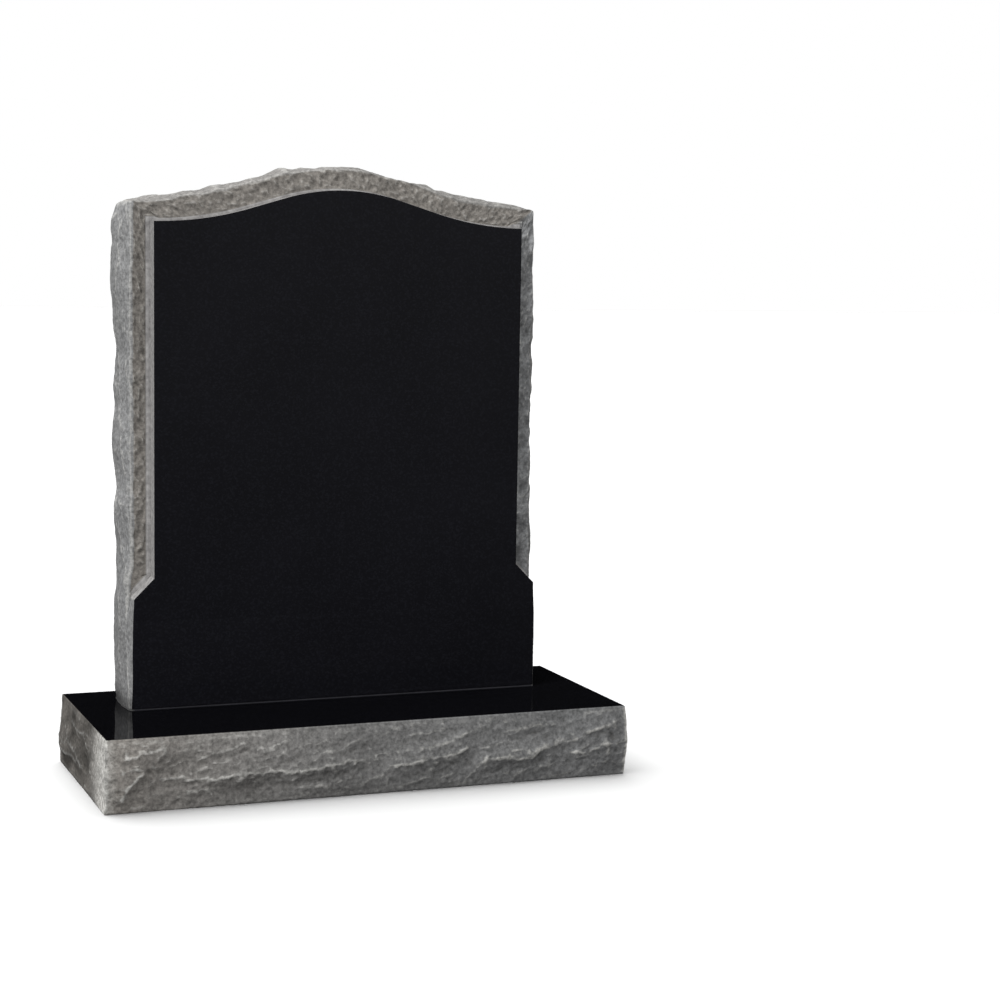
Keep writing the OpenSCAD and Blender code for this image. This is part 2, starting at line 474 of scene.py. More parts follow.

# the left end is paler towards its front corner and darker, in streaks, behind that; the
# front is paler and warmer towards its left
x_in, y_in = base_points[:, :, 0] + hw, base_points[:, :, 1] + hd    # from the corner
on_left = smooth((1 - x_in) / 2)
base_pale = on_left * smooth(1 - y_in / 135) * 0.82 + (1 - on_left) * smooth(
    1 - np.hypot(x_in + 6, y_in + 6) / 24) * 0.5
streaks = drift(y_in + 1.3 * base_points[:, :, 2], base_points[:, :, 2] - 0.4 * y_in, 87, 34.0)
left_tone = 1.10 - 0.50 * smooth(y_in / 125) - 0.50 * smooth(y_in / 90) * (streaks - 0.15)
front_tone = 0.68 + 0.42 * np.exp(-np.maximum(x_in, 0) / 220)
base_tone = on_left * left_tone + (1 - on_left) * front_tone
# painted shade: the polished top is set much darker than the tablet's polished face
base_tone[:, -1] = 0.35        # the polished top takes its tone from its edge
# painted highlight on the ridges and painted shade in the hollows, stronger on the left end and
# fading out at the top and bottom arrises
base_painted_light = (0.70 + 0.25 * on_left) * painted_highlight_and_shade(base_points, True, 7) * smooth(depth_in / 7.0)
base_rough = smooth(depth_in / 5.0) * smooth(np.hypot(x_in, y_in) / 8 + 0.25)
base_warm = np.exp(-np.maximum(x_in, 0) / 330)

base_mesh = stone_mesh(
    "pitched_base", base_points.reshape(-1, 3), base_quads,
    [PITCHED] * len(base_quads),
    [(index[:, -1], POLISHED), (index[::-1, 0], SAWN)],
    {
        "out": base_normals.reshape(-1, 3),
        "rough": base_rough.ravel(),
        "painted_highlight_and_shade": base_painted_light.ravel(),
        "pale": base_pale.ravel(),
        "warm": base_warm.ravel(),
        "tone": base_tone.ravel(),
        "saw": base_points[:, :, 0].ravel(),
    },
)

# Polished black granite: ground with finer and finer grit to a mirror.  Nearly black, with a
# weak sharp reflection and faint crystals, drawn about 2 mm across so that they show.
granite_polished, nt, shader = new_material("granite_polished")
place = add_node(nt, "ShaderNodeTexCoord").outputs["Object"]
crystal = add_node(nt, "ShaderNodeTexVoronoi", {"Vector": place, "Scale": 1 / 0.0022})
fleck = add_node(nt, "ShaderNodeMapRange", {
    "Value": add_node(nt, "ShaderNodeSeparateColor", {
        "Color": crystal.outputs["Color"]}).outputs[0],
    "From Min": 0.55, "From Max": 1.0, "To Min": 0.0, "To Max": 0.25})
cloud = add_node(nt, "ShaderNodeTexNoise", {"Vector": place, "Scale": 1 / 0.15, "Detail": 2.0})
ground = add_node(nt, "ShaderNodeMix", {
    "Factor": cloud.outputs["Fac"], 6: linear("#0e0e11"), 7: linear("#141418")},
    data_type="RGBA")
black = add_node(nt, "ShaderNodeMix", {
    "Factor": fleck.outputs[0], 6: ground.outputs[2], 7: linear("#25262c")},
    data_type="RGBA")
depth = add_node(nt, "ShaderNodeVectorMath", {
    0: black.outputs[2], "Scale": add_node(
        nt, "ShaderNodeAttribute", attribute_name="tone").outputs["Fac"]},
    operation="SCALE")
nt.links.new(depth.outputs[0], shader.inputs["Base Color"])
shader.inputs["Roughness"].default_value = 0.06
shader.inputs["IOR"].default_value = 1.5
shader.inputs["Specular IOR Level"].default_value = 0.06

# Rock pitched granite: freshly broken crystals scatter the light, so the same black stone
# turns mid grey, with a painted highlight on the ridges and painted shade down in the
# hollows.  Its grain is drawn 5 mm across, coarser than the real crystals, so that it shows.
granite_pitched, nt, shader = new_material("granite_pitched")
place = add_node(nt, "ShaderNodeTexCoord").outputs["Object"]
broad = add_node(nt, "ShaderNodeTexNoise", {
    "Vector": place, "Scale": 1 / 0.11, "Detail": 3.0, "Roughness": 0.6})
patchy = add_node(nt, "ShaderNodeMapRange", {
    "Value": broad.outputs["Fac"], "From Min": 0.36, "From Max": 0.64,
    "To Min": 0.90, "To Max": 1.10})
stone = add_node(nt, "ShaderNodeMix", {
    "Factor": add_node(nt, "ShaderNodeAttribute", attribute_name="warm").outputs["Fac"],
    6: linear("#757677"), 7: linear("#7b7772")}, data_type="RGBA")
grain = add_node(nt, "ShaderNodeTexNoise", {
    "Vector": place, "Scale": 1 / 0.005, "Detail": 3.0, "Roughness": 0.65})
speckle = add_node(nt, "ShaderNodeMapRange", {
    "Value": grain.outputs["Fac"], "From Min": 0.3, "From Max": 0.7,
    "To Min": 0.60, "To Max": 1.40})
# this attribute is painted light from the relief: above nought a painted highlight on ridges and
# arrises, below it painted shade in the hollows
painted_light_mark = add_node(nt, "ShaderNodeAttribute", attribute_name="painted_highlight_and_shade").outputs["Fac"]
pale_mark = add_node(nt, "ShaderNodeAttribute", attribute_name="pale").outputs["Fac"]
tone_mark = add_node(nt, "ShaderNodeAttribute", attribute_name="tone").outputs["Fac"]
# painted highlight: ridges and arrises are mixed towards pale grey, as is the paler left front
# corner of the base
ridge = add_node(nt, "ShaderNodeMapRange", {
    "Value": painted_light_mark, "From Min": 0.09, "From Max": 0.42, "To Max": 0.86})
painted_highlight_and_pale = add_node(nt, "ShaderNodeMath", {
    0: ridge.outputs[0],
    1: add_node(nt, "ShaderNodeMath", {0: pale_mark, 1: speckle.outputs[0]},
                operation="MULTIPLY").outputs[0]}, operation="MAXIMUM")
# painted shade: the hollows are mixed towards a dark brownish grey
hollow = add_node(nt, "ShaderNodeMapRange", {
    "Value": painted_light_mark, "From Min": -0.08, "From Max": -0.5, "To Max": 0.5})
shaded = add_node(nt, "ShaderNodeMix", {
    "Factor": hollow.outputs[0], 6: stone.outputs[2], 7: linear("#4c4a46")},
    data_type="RGBA")
marked = add_node(nt, "ShaderNodeMix", {
    "Factor": painted_highlight_and_pale.outputs[0], 6: shaded.outputs[2], 7: linear("#b2b1ad")},
    data_type="RGBA")
level = add_node(nt, "ShaderNodeMath", {
    0: speckle.outputs[0], 1: add_node(nt, "ShaderNodeMath", {
        0: patchy.outputs[0], 1: tone_mark}, operation="MULTIPLY").outputs[0]},
    operation="MULTIPLY")
broken = add_node(nt, "ShaderNodeMix", {
    "Factor": 1.0, 6: marked.outputs[2],
    7: add_node(nt, "ShaderNodeCombineColor", {
        0: level.outputs[0], 1: level.outputs[0], 2: level.outputs[0]}).outputs[0]},
    data_type="RGBA", blend_type="MULTIPLY")
relief = add_node(nt, "ShaderNodeBump", {
    "Strength": 0.45, "Distance": 0.0012, "Height": grain.outputs["Fac"]})
nt.links.new(broken.outputs[2], shader.inputs["Base Color"])
nt.links.new(relief.outputs[0], shader.inputs["Normal"])
shader.inputs["Roughness"].default_value = 0.8
shader.inputs["IOR"].default_value = 1.5
shader.inputs["Specular IOR Level"].default_value = 0.3

# Sawn granite: left by a diamond blade, pale grey, dusty in places, with fine lines along
# the cut.
granite_sawn, nt, shader = new_material("granite_sawn")
place = add_node(nt, "ShaderNodeTexCoord").outputs["Object"]
saw_mark = add_node(nt, "ShaderNodeAttribute", attribute_name="saw").outputs["Fac"]
lines = add_node(nt, "ShaderNodeTexNoise", {
    "W": saw_mark, "Scale": 1 / 2.2, "Detail": 2.0}, noise_dimensions="1D")
dust_and_painted_light = add_node(nt, "ShaderNodeTexNoise", {
    "Vector": place, "Scale": 1 / 0.006, "Detail": 3.0})
cut = add_node(nt, "ShaderNodeMapRange", {
    "Value": lines.outputs["Fac"], "From Min": 0.35, "From Max": 0.65})
sawn = add_node(nt, "ShaderNodeMix", {
    "Factor": cut.outputs[0], 6: linear("#8e8d8c"), 7: linear("#a19f9e")},
    data_type="RGBA")
dusty = add_node(nt, "ShaderNodeMix", {
    "Factor": add_node(nt, "ShaderNodeMapRange", {
        "Value": dust_and_painted_light.outputs["Fac"], "From Min": 0.35, "From Max": 0.7,
        "To Max": 0.8}).outputs[0],
    6: sawn.outputs[2], 7: linear("#716f6f")}, data_type="RGBA")
toned = add_node(nt, "ShaderNodeVectorMath", {
    0: dusty.outputs[2], "Scale": add_node(
        nt, "ShaderNodeAttribute", attribute_name="tone").outputs["Fac"]},
    operation="SCALE")
nt.links.new(toned.outputs[0], shader.inputs["Base Color"])
nt.links.new(add_node(nt, "ShaderNodeBump", {
    "Strength": 0.3, "Distance": 0.0004, "Height": lines.outputs["Fac"]}).outputs[0],
    shader.inputs["Normal"])
shader.inputs["Roughness"].default_value = 0.6
shader.inputs["IOR"].default_value = 1.5
shader.inputs["Specular IOR Level"].default_value = 0.3

# Broken grain: a tree that lifts and sinks the pitched faces crystal by crystal and gives
# each face the finish it is marked with.
breaking = bpy.data.node_groups.new("broken_grain", "GeometryNodeTree")
breaking.is_modifier = True
for label, kind, value in (
    ("Geometry", "NodeSocketGeometry", None),
    ("Chip Size", "NodeSocketFloat", 0.011),
    ("Chip Depth", "NodeSocketFloat", 0.0011),
    ("Grain Size", "NodeSocketFloat", 0.005),
    ("Grain Depth", "NodeSocketFloat", 0.0006),
    ("Seed", "NodeSocketFloat", 7.0),
    ("Polished", "NodeSocketMaterial", None),
    ("Pitched", "NodeSocketMaterial", None),
    ("Sawn", "NodeSocketMaterial", None),
):
    socket = breaking.interface.new_socket(label, in_out="INPUT", socket_type=kind)
    if value is not None:
        socket.default_value = value
breaking.interface.new_socket("Geometry", in_out="OUTPUT", socket_type="NodeSocketGeometry")
given = add_node(breaking, "NodeGroupInput")
spot = add_node(breaking, "GeometryNodeInputPosition").outputs[0]
out = add_node(breaking, "GeometryNodeInputNamedAttribute", {"Name": "out"},
               data_type="FLOAT_VECTOR").outputs["Attribute"]
rough = add_node(breaking, "GeometryNodeInputNamedAttribute", {"Name": "rough"},
                 data_type="FLOAT").outputs["Attribute"]
chips = add_node(breaking, "ShaderNodeTexVoronoi", {
    "Vector": spot, "W": given.outputs["Seed"],
    "Scale": add_node(breaking, "ShaderNodeMath", {0: 1.0, 1: given.outputs["Chip Size"]},
                      operation="DIVIDE").outputs[0]}, voronoi_dimensions="4D")
grains = add_node(breaking, "ShaderNodeTexNoise", {
    "Vector": spot, "W": given.outputs["Seed"], "Detail": 2.0, "Roughness": 0.6,
    "Scale": add_node(breaking, "ShaderNodeMath", {0: 1.0, 1: given.outputs["Grain Size"]},
                      operation="DIVIDE").outputs[0]}, noise_dimensions="4D")
chipped = add_node(breaking, "ShaderNodeMath", {
    0: add_node(breaking, "ShaderNodeMath", {
        0: 0.75, 1: chips.outputs["Distance"]}, operation="SUBTRACT").outputs[0],
    1: given.outputs["Chip Depth"]}, operation="MULTIPLY")
grained = add_node(breaking, "ShaderNodeMath", {
    0: grains.outputs["Fac"], 1: given.outputs["Grain Depth"], 2: chipped.outputs[0]},
    operation="MULTIPLY_ADD")
sunk = add_node(breaking, "ShaderNodeMath", {
    0: add_node(breaking, "ShaderNodeMath", {
        0: grained.outputs[0], 1: rough}, operation="MULTIPLY").outputs[0],
    1: -1.0}, operation="MULTIPLY")
moved = add_node(breaking, "GeometryNodeSetPosition", {
    "Geometry": given.outputs["Geometry"],
    "Offset": add_node(breaking, "ShaderNodeVectorMath", {
        0: out, "Scale": sunk.outputs[0]}, operation="SCALE").outputs[0]})
whole = add_node(breaking, "GeometryNodeRealizeInstances", {
    "Geometry": moved.outputs["Geometry"]}).outputs["Geometry"]
finish = add_node(breaking, "GeometryNodeInputNamedAttribute", {"Name": "finish"},
                  data_type="INT").outputs["Attribute"]
for number, label in ((POLISHED, "Polished"), (PITCHED, "Pitched"), (SAWN, "Sawn")):
    chosen = add_node(breaking, "FunctionNodeCompare", {2: finish, 3: number},
                      data_type="INT", operation="EQUAL")
    whole = add_node(breaking, "GeometryNodeSetMaterial", {
        "Geometry": whole, "Selection": chosen.outputs[0],
        "Material": given.outputs[label]}).outputs["Geometry"]
add_node(breaking, "NodeGroupOutput", {"Geometry": whole})


def broken_stone(mesh, **inputs):
    """The finished object that the tree makes of a mesh."""
    rough_piece = bpy.data.objects.new(mesh.name, mesh)
    scene.collection.objects.link(rough_piece)
    live = rough_piece.modifiers.new("broken_grain", "NODES")
    live.node_group = breaking
    values = {"Polished": granite_polished, "Pitched": granite_pitched,
              "Sawn": granite_sawn, **inputs}
    for item in breaking.interface.items_tree:
        if item.in_out == "INPUT" and item.name in values:
            live[item.identifier] = values[item.name]
    seen_by = bpy.context.evaluated_depsgraph_get()
    made = bpy.data.meshes.new_from_object(
        rough_piece.evaluated_get(seen_by), preserve_all_data_layers=True, depsgraph=seen_by)
    rough_piece.modifiers.clear()
    bpy.data.objects.remove(rough_piece)
    piece = bpy.data.objects.new(mesh.name, made)
    scene.collection.objects.link(piece)
    return piece


base_piece = broken_stone(base_mesh, **{"Chip Depth": 0.0015, "Grain Depth": 0.0009})
shades_floor.objects.link(base_piece)
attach(base_piece, "root")
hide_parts("base")

# ---- tablet: the upright stone, one slab of the same granite.  The panel with its crest and
# shoulders is polished and stands proud of a rough margin that is cut back around it; the
# edges are rock pitched, and the back and foot are sawn ----

tablet_w, tablet_t, panel_h = 612.0, 102.0, 740.0
ledge_back, tablet_swell = 44.0, 14.6
crest_rise, flank_steepness, crown_share = 49.0, 1.7, 0.385
margin_w, rebate_depth, shoulder_h = 29.0, 25.0, 158.0
strip_w, strip_crest = 7.0, 3.2    # flat run of the saw at the foot of the rebate
eased = 0.7            # the polished arris is rubbed off this much
face_y = base_d / 2 - ledge_back - tablet_t
bed_h = 2.0            # the tablet stands on a bed this thick
foot_z = base_h + bed_h
half_w = tablet_w / 2
half_panel = half_w - margin_w
crown_h = panel_h + margin_w
side_h = crown_h - crest_rise


def crest_drop(x, half):
    """Drop of the crest line below the crown: a round crown, straight flanks and hollow
    ends that finish level."""
    flank = math.atan(flank_steepness * crest_rise / half)
    bend = (flank_steepness - 1) * crest_rise / (1 / math.cos(flank) - 1)
    crown_r = crown_share * bend
    end_r = bend - crown_r
    crown_end = crown_r * math.sin(flank)
    d = np.minimum(np.abs(x), half)
    crown = crown_r - np.sqrt(np.maximum(crown_r**2 - np.minimum(d, crown_end)**2, 0))
    straight = crown_r * (1 - math.cos(flank)) + (d - crown_end) * math.tan(flank)
    hollow_end = crest_rise - end_r + np.sqrt(np.maximum(end_r**2 - (half - d)**2, 0))
    return np.where(d < crown_end, crown,
                    np.where(d < half - end_r * math.sin(flank), straight, hollow_end))


# the columns of the mesh stand at these heights up the sides and places across the crest
side_z = np.concatenate([
    np.linspace(0, shoulder_h, 80)[:-1],
    np.linspace(shoulder_h, shoulder_h + margin_w, 16)[:-1],
    np.linspace(shoulder_h + margin_w, side_h, 268),
])
top_x = np.linspace(-half_w, half_w, 309)[1:-1]
n_side, n_top = len(side_z), len(top_x)
outline = np.concatenate([
    np.stack([np.full(n_side, -half_w), side_z], 1),
    np.stack([top_x, crown_h - crest_drop(top_x, half_w)], 1),
    np.stack([np.full(n_side, half_w), side_z[::-1]], 1),
])


def panel_side(z):
    """The panel's left outline beside height z on the tablet's edge."""
    x = -half_w + np.clip(z - shoulder_h, 0, margin_w)
    top = panel_h - crest_rise
    bend = shoulder_h + margin_w
    above_bend = bend + (z - bend) * (top - bend) / (side_h - bend)
    return np.stack([x, np.where(z < bend, z, above_bend)], 1)


panel_left = panel_side(side_z)
panel_x = top_x * half_panel / half_w
panel = np.concatenate([
    panel_left,
    np.stack([panel_x, panel_h - crest_drop(panel_x, half_panel)], 1),
    panel_left[::-1] * (-1, 1),
])


def offset(path, width):
    """The closed path moved outwards by width, with square corners."""
    ahead = np.roll(path, -1, 0) - path
    ahead /= np.linalg.norm(ahead, axis=1, keepdims=True)
    behind = np.roll(ahead, 1, 0)
    n1 = np.stack([-behind[:, 1], behind[:, 0]], 1)
    n2 = np.stack([-ahead[:, 1], ahead[:, 0]], 1)
    return path + width * (n1 + n2) / (1 + (n1 * n2).sum(1, keepdims=True))


ring = offset(panel, -eased)

# Where each column stands: s runs up the left edge, over the crest and down the right one.
part = np.repeat([0, 1, 2], [n_side, n_top, n_side])       # left edge, crest, right edge
z_at = np.concatenate([side_z, np.full(n_top, side_h), side_z[::-1]])
x_at = np.concatenate([np.full(n_side, -half_w), top_x, np.full(n_side, half_w)])
s_at = np.concatenate([[0], np.cumsum(np.linalg.norm(np.diff(outline, axis=0), axis=1))])
near_corner = 36.0     # the side's swell gives way to the crest's over this length
most_left, most_right, most_up = 13.0, 14.2, 11.3      # furthest that the edges swell
up_share = np.where(part == 1, 1.0, smooth((z_at - side_h + near_corner) / near_corner))
out_share = np.where(
    part == 1, smooth((np.abs(x_at) - half_w + near_corner) / near_corner), 1.0)
hand = np.sign(x_at)
# the flat run is thinner over the crest, and thinnest over the right of it
thinned = (part == 1) * smooth((x_at + half_w - 4) / 12) * smooth((half_w - 4 - x_at) / 12)
strip_here = strip_w - thinned * (
    strip_w - strip_crest - 1.4 * (1 - smooth((x_at + half_w) / 330)))
strip = offset(panel, strip_here[:, None])
# 0 up to the shoulders and 1 well above them
above = np.clip(smooth((z_at - shoulder_h - 20) / 30) + (part == 1), 0, 1)

wall_y = np.linspace(eased, rebate_depth, 12)
n_wall, n_strip, n_margin = len(wall_y), 3, 11     # rows on each stretch of the rebate
side_t = np.concatenate([[0.012], np.linspace(0.03, 0.97, 35), [0.988, 1.0]])


def lumps(u, places):
    """Bumps and hollows in mm along an edge: (place, height, half length) of each."""
    return sum(high * np.exp(-(((u - at) / half) ** 2)) for at, high, half in places)


# where the struck edges of this stone swell most and least, in mm above the foot or, on
# the crest, from the crown
left_lumps = [(14, 3, 14), (50, 6, 32), (98, 8, 30), (142, 5, 20), (255, 3, 22), (285, 3, 18),
              (312, -2, 14), (376, 6, 24), (405, 3, 20), (455, 5, 20), (507, -3, 16),
              (560, 2, 20), (606, 6, 24), (640, 8, 24), (685, 8, 20)]
right_lumps = [(290, -2, 16), (315, -2, 12), (370, -4, 30), (405, -3, 34), (600, -3, 30),
               (628, -3, 22), (640, -7, 50), (705, -5, 24)]
crest_lumps = [(-302, -7, 24), (-238, -3, 22), (-196, -2, 14), (-174, 2, 12), (-60, -3, 9),
               (-138, -5, 20), (-107, -3, 14), (-80, 3, 12), (-30, -4, 20), (10, -4.5, 42),
               (50, -3, 16), (72, -3, 14), (95, -11, 28), (143, 3, 10), (160, -1.5, 10),
               (198, 2, 14), (240, 2, 26), (300, -9, 15)]


def body(u, y, k):
    """Swell of the tablet's pitched edge number k at (u, y), 0 to 1."""
    lines = chisel_lines(side_h, tablet_t, k, 7, 22.0)
    rise = (
        0.34 * scoops(u, y, k)
        + 0.30 * scoops(u, y, k + 30, 58.0, 34.0, 20.0)
        + 0.14 * crag(u, y, k + 5)
        + 0.22 * struck_lines(u, y, lines, 26.0, 20.0)
    )
    return least_swell + (1 - least_swell) * np.clip(rise, 0, 1)


def edge_swell(y):
    """Outward swell in mm, to the side and upward, of every column at depth y."""
    y = np.broadcast_to(y, (len(s_at), np.shape(y)[-1]))
    low = bulge(y / tablet_t)
    t_high = (y - rebate_depth) / (tablet_t - rebate_depth)
    high = bulge(np.clip(t_high, 0, 1))
    share = smooth((z_at - shoulder_h + 60) / 60)[:, None]
    shape = low * (1 - share) + high * share
    shape = np.maximum(shape, 1e-9)
    rear = smooth((y / tablet_t - 0.15) / 0.6)
    z, x = z_at[:, None], x_at[:, None]
    left = shape**0.7 * (tablet_swell * body(z, y, 10) + rear * lumps(z, left_lumps))
    right = shape * (tablet_swell * body(z, y, 30) + lumps(z, right_lumps))
    top = shape * (tablet_swell * body(x + half_w, y, 20) + lumps(x, crest_lumps))
    side = np.where(x < 0, np.clip(left, 0, most_left), np.clip(right, 0, most_right))
    return side * out_share[:, None], np.clip(top, 0, most_up) * up_share[:, None]


# the arrises wander in and out a little, and the upper left corner is drawn in
wobble = (
    5.0 * (drift(s_at, 0 * s_at, 41, 47.0) - 0.5)
    + 2.4 * (drift(s_at, 0 * s_at, 42, 13.0) - 0.5)
)
wobble *= np.where(part == 0, 0.45, 1.0)
back_wobble = 2.5 * (drift(s_at, 0 * s_at, 43, 38.0) - 0.5)
back_wobble += (part == 0) * (1.5 + lumps(z_at, [(600, 3, 50)]))
drawn_in = (x_at < 0) * np.where(part == 1, out_share, smooth((z_at - side_h + 30) / 30))

corner_at = np.array([n_side - 1, n_side + n_top])
by_corner = np.exp(-((np.arange(len(s_at)) - corner_at[:, None]) / 10) ** 4).sum(0)[:, None]


def rubbed(row, share, passes=26):
    """The row of points with its two upper corners rubbed round."""
    soft = row.copy()
    for _ in range(passes):
        soft[1:-1] = (soft[:-2] + 2 * soft[1:-1] + soft[2:]) / 4
    return row + share * by_corner * (soft - row)


arris = outline.copy()
arris[:, 0] += hand * out_share * wobble * above + drawn_in
arris[:, 1] += up_share * wobble * above
arris[:, 0] += 4.0 * (part == 0) * above        # the left front arris is set in
arris[:, 1] += (part == 1) * lumps(x_at, [(92, -1.8, 18)])
arris[:, 0] -= (part == 2) * lumps(z_at, [(631, 2.6, 22), (698, 1.4, 34), (428, 1.1, 26)])
arris = rubbed(arris, 1.0, 16)
# the flat run stops at the tablet's edge, and the arris never stands inside the run
strip[:, 0] = np.where(part == 1, strip[:, 0], hand * np.minimum(np.abs(strip[:, 0]), half_w))
outward = np.maximum(np.abs(arris[:, 0]), np.abs(strip[:, 0]))
arris[:, 0] = np.where(part == 1, arris[:, 0], hand * outward)
low_part = (z_at <= shoulder_h) & (part != 1)
arris[low_part] = outline[low_part]

# rows of points from the rim of the polished face to the back: down the wall of the rebate,
# over its flat run and its rough margin, and then along the pitched edge
lower_side, _ = edge_swell(wall_y[None, :])
wall_x = np.where(low_part[:, None], panel[:, :1] + hand[:, None] * lower_side, panel[:, :1])
wall_z = np.broadcast_to(panel[:, 1:], wall_x.shape)
ring_z = np.where(panel[:, 1] <= 0, eased, ring[:, 1])      # the face stops at the foot
rows_xyz = [
    np.stack([ring[:, 0], np.zeros(len(ring)), ring_z], 1)[:, None],
    np.stack([wall_x, np.broadcast_to(wall_y, wall_x.shape), wall_z], 2),
]
start = rows_xyz[1][:, -1, :]
strip3 = np.stack([strip[:, 0], np.full(len(strip), rebate_depth), strip[:, 1]], 1)
arris3 = np.stack([arris[:, 0], np.full(len(arris), rebate_depth), arris[:, 1]], 1)
strip3[low_part], arris3[low_part] = start[low_part], start[low_part]
for i in range(1, n_strip + 1):
    rows_xyz.append((start + (strip3 - start) * i / n_strip)[:, None])

# the margin is hewn in small hollows, which fade out along both of its sides
width_here = np.linalg.norm(arris3 - strip3, axis=1)
for i in range(1, n_margin + 1):
    t = i / n_margin
    row = strip3 + (arris3 - strip3) * t
    away = width_here * t
    hewn = (
        2.4 * (scoops(s_at, away, 70, 15.0, 21.0, 60.0) - 0.35)
        + 2.2 * (drift(s_at, away, 71, 7.0) - 0.5)
        + 1.5 * (drift(s_at, away, 72, 4.0) - 0.5)
    )
    fade = smooth(away / 4.0) * smooth((width_here - away) / 3.0 + 0.35) * above
    row[:, 1] = rebate_depth - np.where(low_part, 0, fade * hewn)
    rows_xyz.append(row[:, None])
front_arris = rows_xyz[-1][:, 0, :]

for t in side_t:
    y_here = rebate_depth + (tablet_t - rebate_depth) * t
    swell_side, swell_up = edge_swell(np.array([[y_here]]))
    target = outline + np.stack([
        hand * out_share * back_wobble * above + drawn_in, up_share * back_wobble * above], 1)
    ease = smooth(t)
    line_x = np.where(
        low_part, hand * half_w, front_arris[:, 0] * (1 - ease) + target[:, 0] * ease)
    line_z = front_arris[:, 2] * (1 - ease) + target[:, 1] * ease
    row = np.stack([
        np.clip(line_x + hand * swell_side[:, 0],
                -half_w - most_left, half_w + most_right + 0.1),
        y_here + (front_arris[:, 1] - rebate_depth) * (1 - t),
        line_z + swell_up[:, 0],
    ], 1)
    rows_xyz.append(rubbed(row, smooth(6 * t))[:, None])

tablet_points = np.concatenate(rows_xyz, 1)
tablet_points = tablet_points[::-1]       # anticlockwise seen from the front
columns, rows = tablet_points.shape[:2]
index = np.arange(columns * rows).reshape(columns, rows)
tablet_quads = np.stack(
    [index[:-1, :-1], index[:-1, 1:], index[1:, 1:], index[1:, :-1]], 2)
row_of = np.arange(rows - 1)
low_cols = low_part[::-1]
low_quads = (low_cols[:-1] & low_cols[1:])[:, None]
kind_by_row = np.where(
    row_of < 1, POLISHED,
    np.where(row_of < n_wall + n_strip, SAWN, PITCHED))
tablet_finish = np.broadcast_to(kind_by_row, (columns - 1, rows - 1)).copy()
tablet_finish = np.where(low_quads & (row_of >= 1)[None, :], PITCHED, tablet_finish)

foot_quad = (index[-1, 0], index[0, 0], index[0, 1], index[-1, 1])
front_cap = index[:, 0]
back_cap = index[::-1, -1]
foot_cap = np.concatenate([index[0, 1:], index[-1, :0:-1]])
tablet_world = tablet_points + (0, face_y, foot_z)

# how far across the cut each point lies, which the lines of the blade follow
saw_dist = np.zeros((columns, rows))
saw_dist[:, 1:n_wall + 1] = wall_y
saw_dist[:, n_wall + 1:n_wall + n_strip + 1] = (
    rebate_depth + strip_w * np.arange(1, n_strip + 1) / n_strip)
saw_dist[:, -1] = tablet_points[:, -1, 2]
t_normals = -grid_normals(tablet_world, False)   # rows run back, so outward is the other way

# below the shoulders the edges are pitched right from the face, above them from the margin
first_margin = 1 + n_wall + n_strip
row_at = np.arange(rows)
low3, part3 = low_cols[:, None], part[::-1][:, None]
depth_here, up = tablet_points[:, :, 1], tablet_points[:, :, 2]
t_rough = np.where(low3, smooth(depth_here / 6.0), row_at >= first_margin)
t_rough = t_rough * smooth((tablet_t - depth_here) / 5.0) * smooth(up / 3.0)
in_margin = (row_at >= first_margin - 1) & (row_at < first_margin + n_margin - 1)

# the edges are palest high up and on the left of the crest, with painted shade at the foot
# where the tablet meets the base, deepest towards the back
side_tone = 1.05 + 0.17 * smooth((up - 480) / 150) + (part3 == 1) * (
    0.10 - 0.28 * smooth(tablet_points[:, :, 0] / 90 + 0.3)) - 0.10 * np.exp(-up / 26)
# painted shade at the foot, deeper towards the back
side_tone *= 1 - np.exp(-(up / 22) ** 2) * (0.56 + 0.14 * smooth(depth_here / tablet_t))
# painted highlight along the arris beside the polished face
side_tone *= 1 + 0.16 * np.exp(-depth_here / 3)
# the cut stone is mottled, most of all down the right margin
run = np.where(part3 == 1, tablet_points[:, :, 0], up)
off = np.where(part3 == 1, up, tablet_points[:, :, 0])
mottled = 0.5 * drift(run, off, 95, 16.0) + 0.5 * drift(run, off, 96, 6.0)
# painted light: the right margin lies in the panel's shadow and is set lighter (1.32 against 0.90
# on the left)
margin_tone = np.array([0.90, 1.10, 1.32])[part3] * (1 + (part3 == 2) * (
    1.3 * mottled - 0.56 - 0.25 * smooth((up - 672) / 24)))
t_tone = np.where(in_margin[None, :] & ~low3, margin_tone, side_tone)
t_tone[:, 1:1 + n_wall] = np.where(low3, side_tone[:, 1:1 + n_wall], 0.95)
flat_cut = slice(1 + n_wall, first_margin - 1)
t_tone[:, flat_cut] = np.where(low3, side_tone, 1.25 * (0.80 + 0.50 * mottled))[:, flat_cut]
t_tone[:, 0] = 1.0
# painted highlight on the ridges and arrises and painted shade in the hollows: over the margin
# crystal by crystal, along the pitched edges blow by blow
on_edge = (row_at >= first_margin + n_margin - 1)[None, :] | low3
from_front = depth_here - np.where(low3, 0.0, rebate_depth)
broad = smooth(from_front / 14) * smooth((tablet_t - depth_here) / 14)
tablet_painted_light = -(0.8 * painted_highlight_and_shade(tablet_world, False, 1)
           + np.where(on_edge, 0.42 * broad * painted_highlight_and_shade(tablet_world, False, 6), 0.0))
tablet_painted_light = np.clip(tablet_painted_light, -0.5, 0.24) * np.where(low3, smooth(depth_here / 6.0), 1.0)
# the margins are warm grey except the right one, whose cool grey is the painted colour of shade;
# the edges are slightly warm, the crest more so
t_warm = np.where(in_margin[None, :] & ~low3, part3 != 2, 0.15 + 0.4 * (part3 == 1))

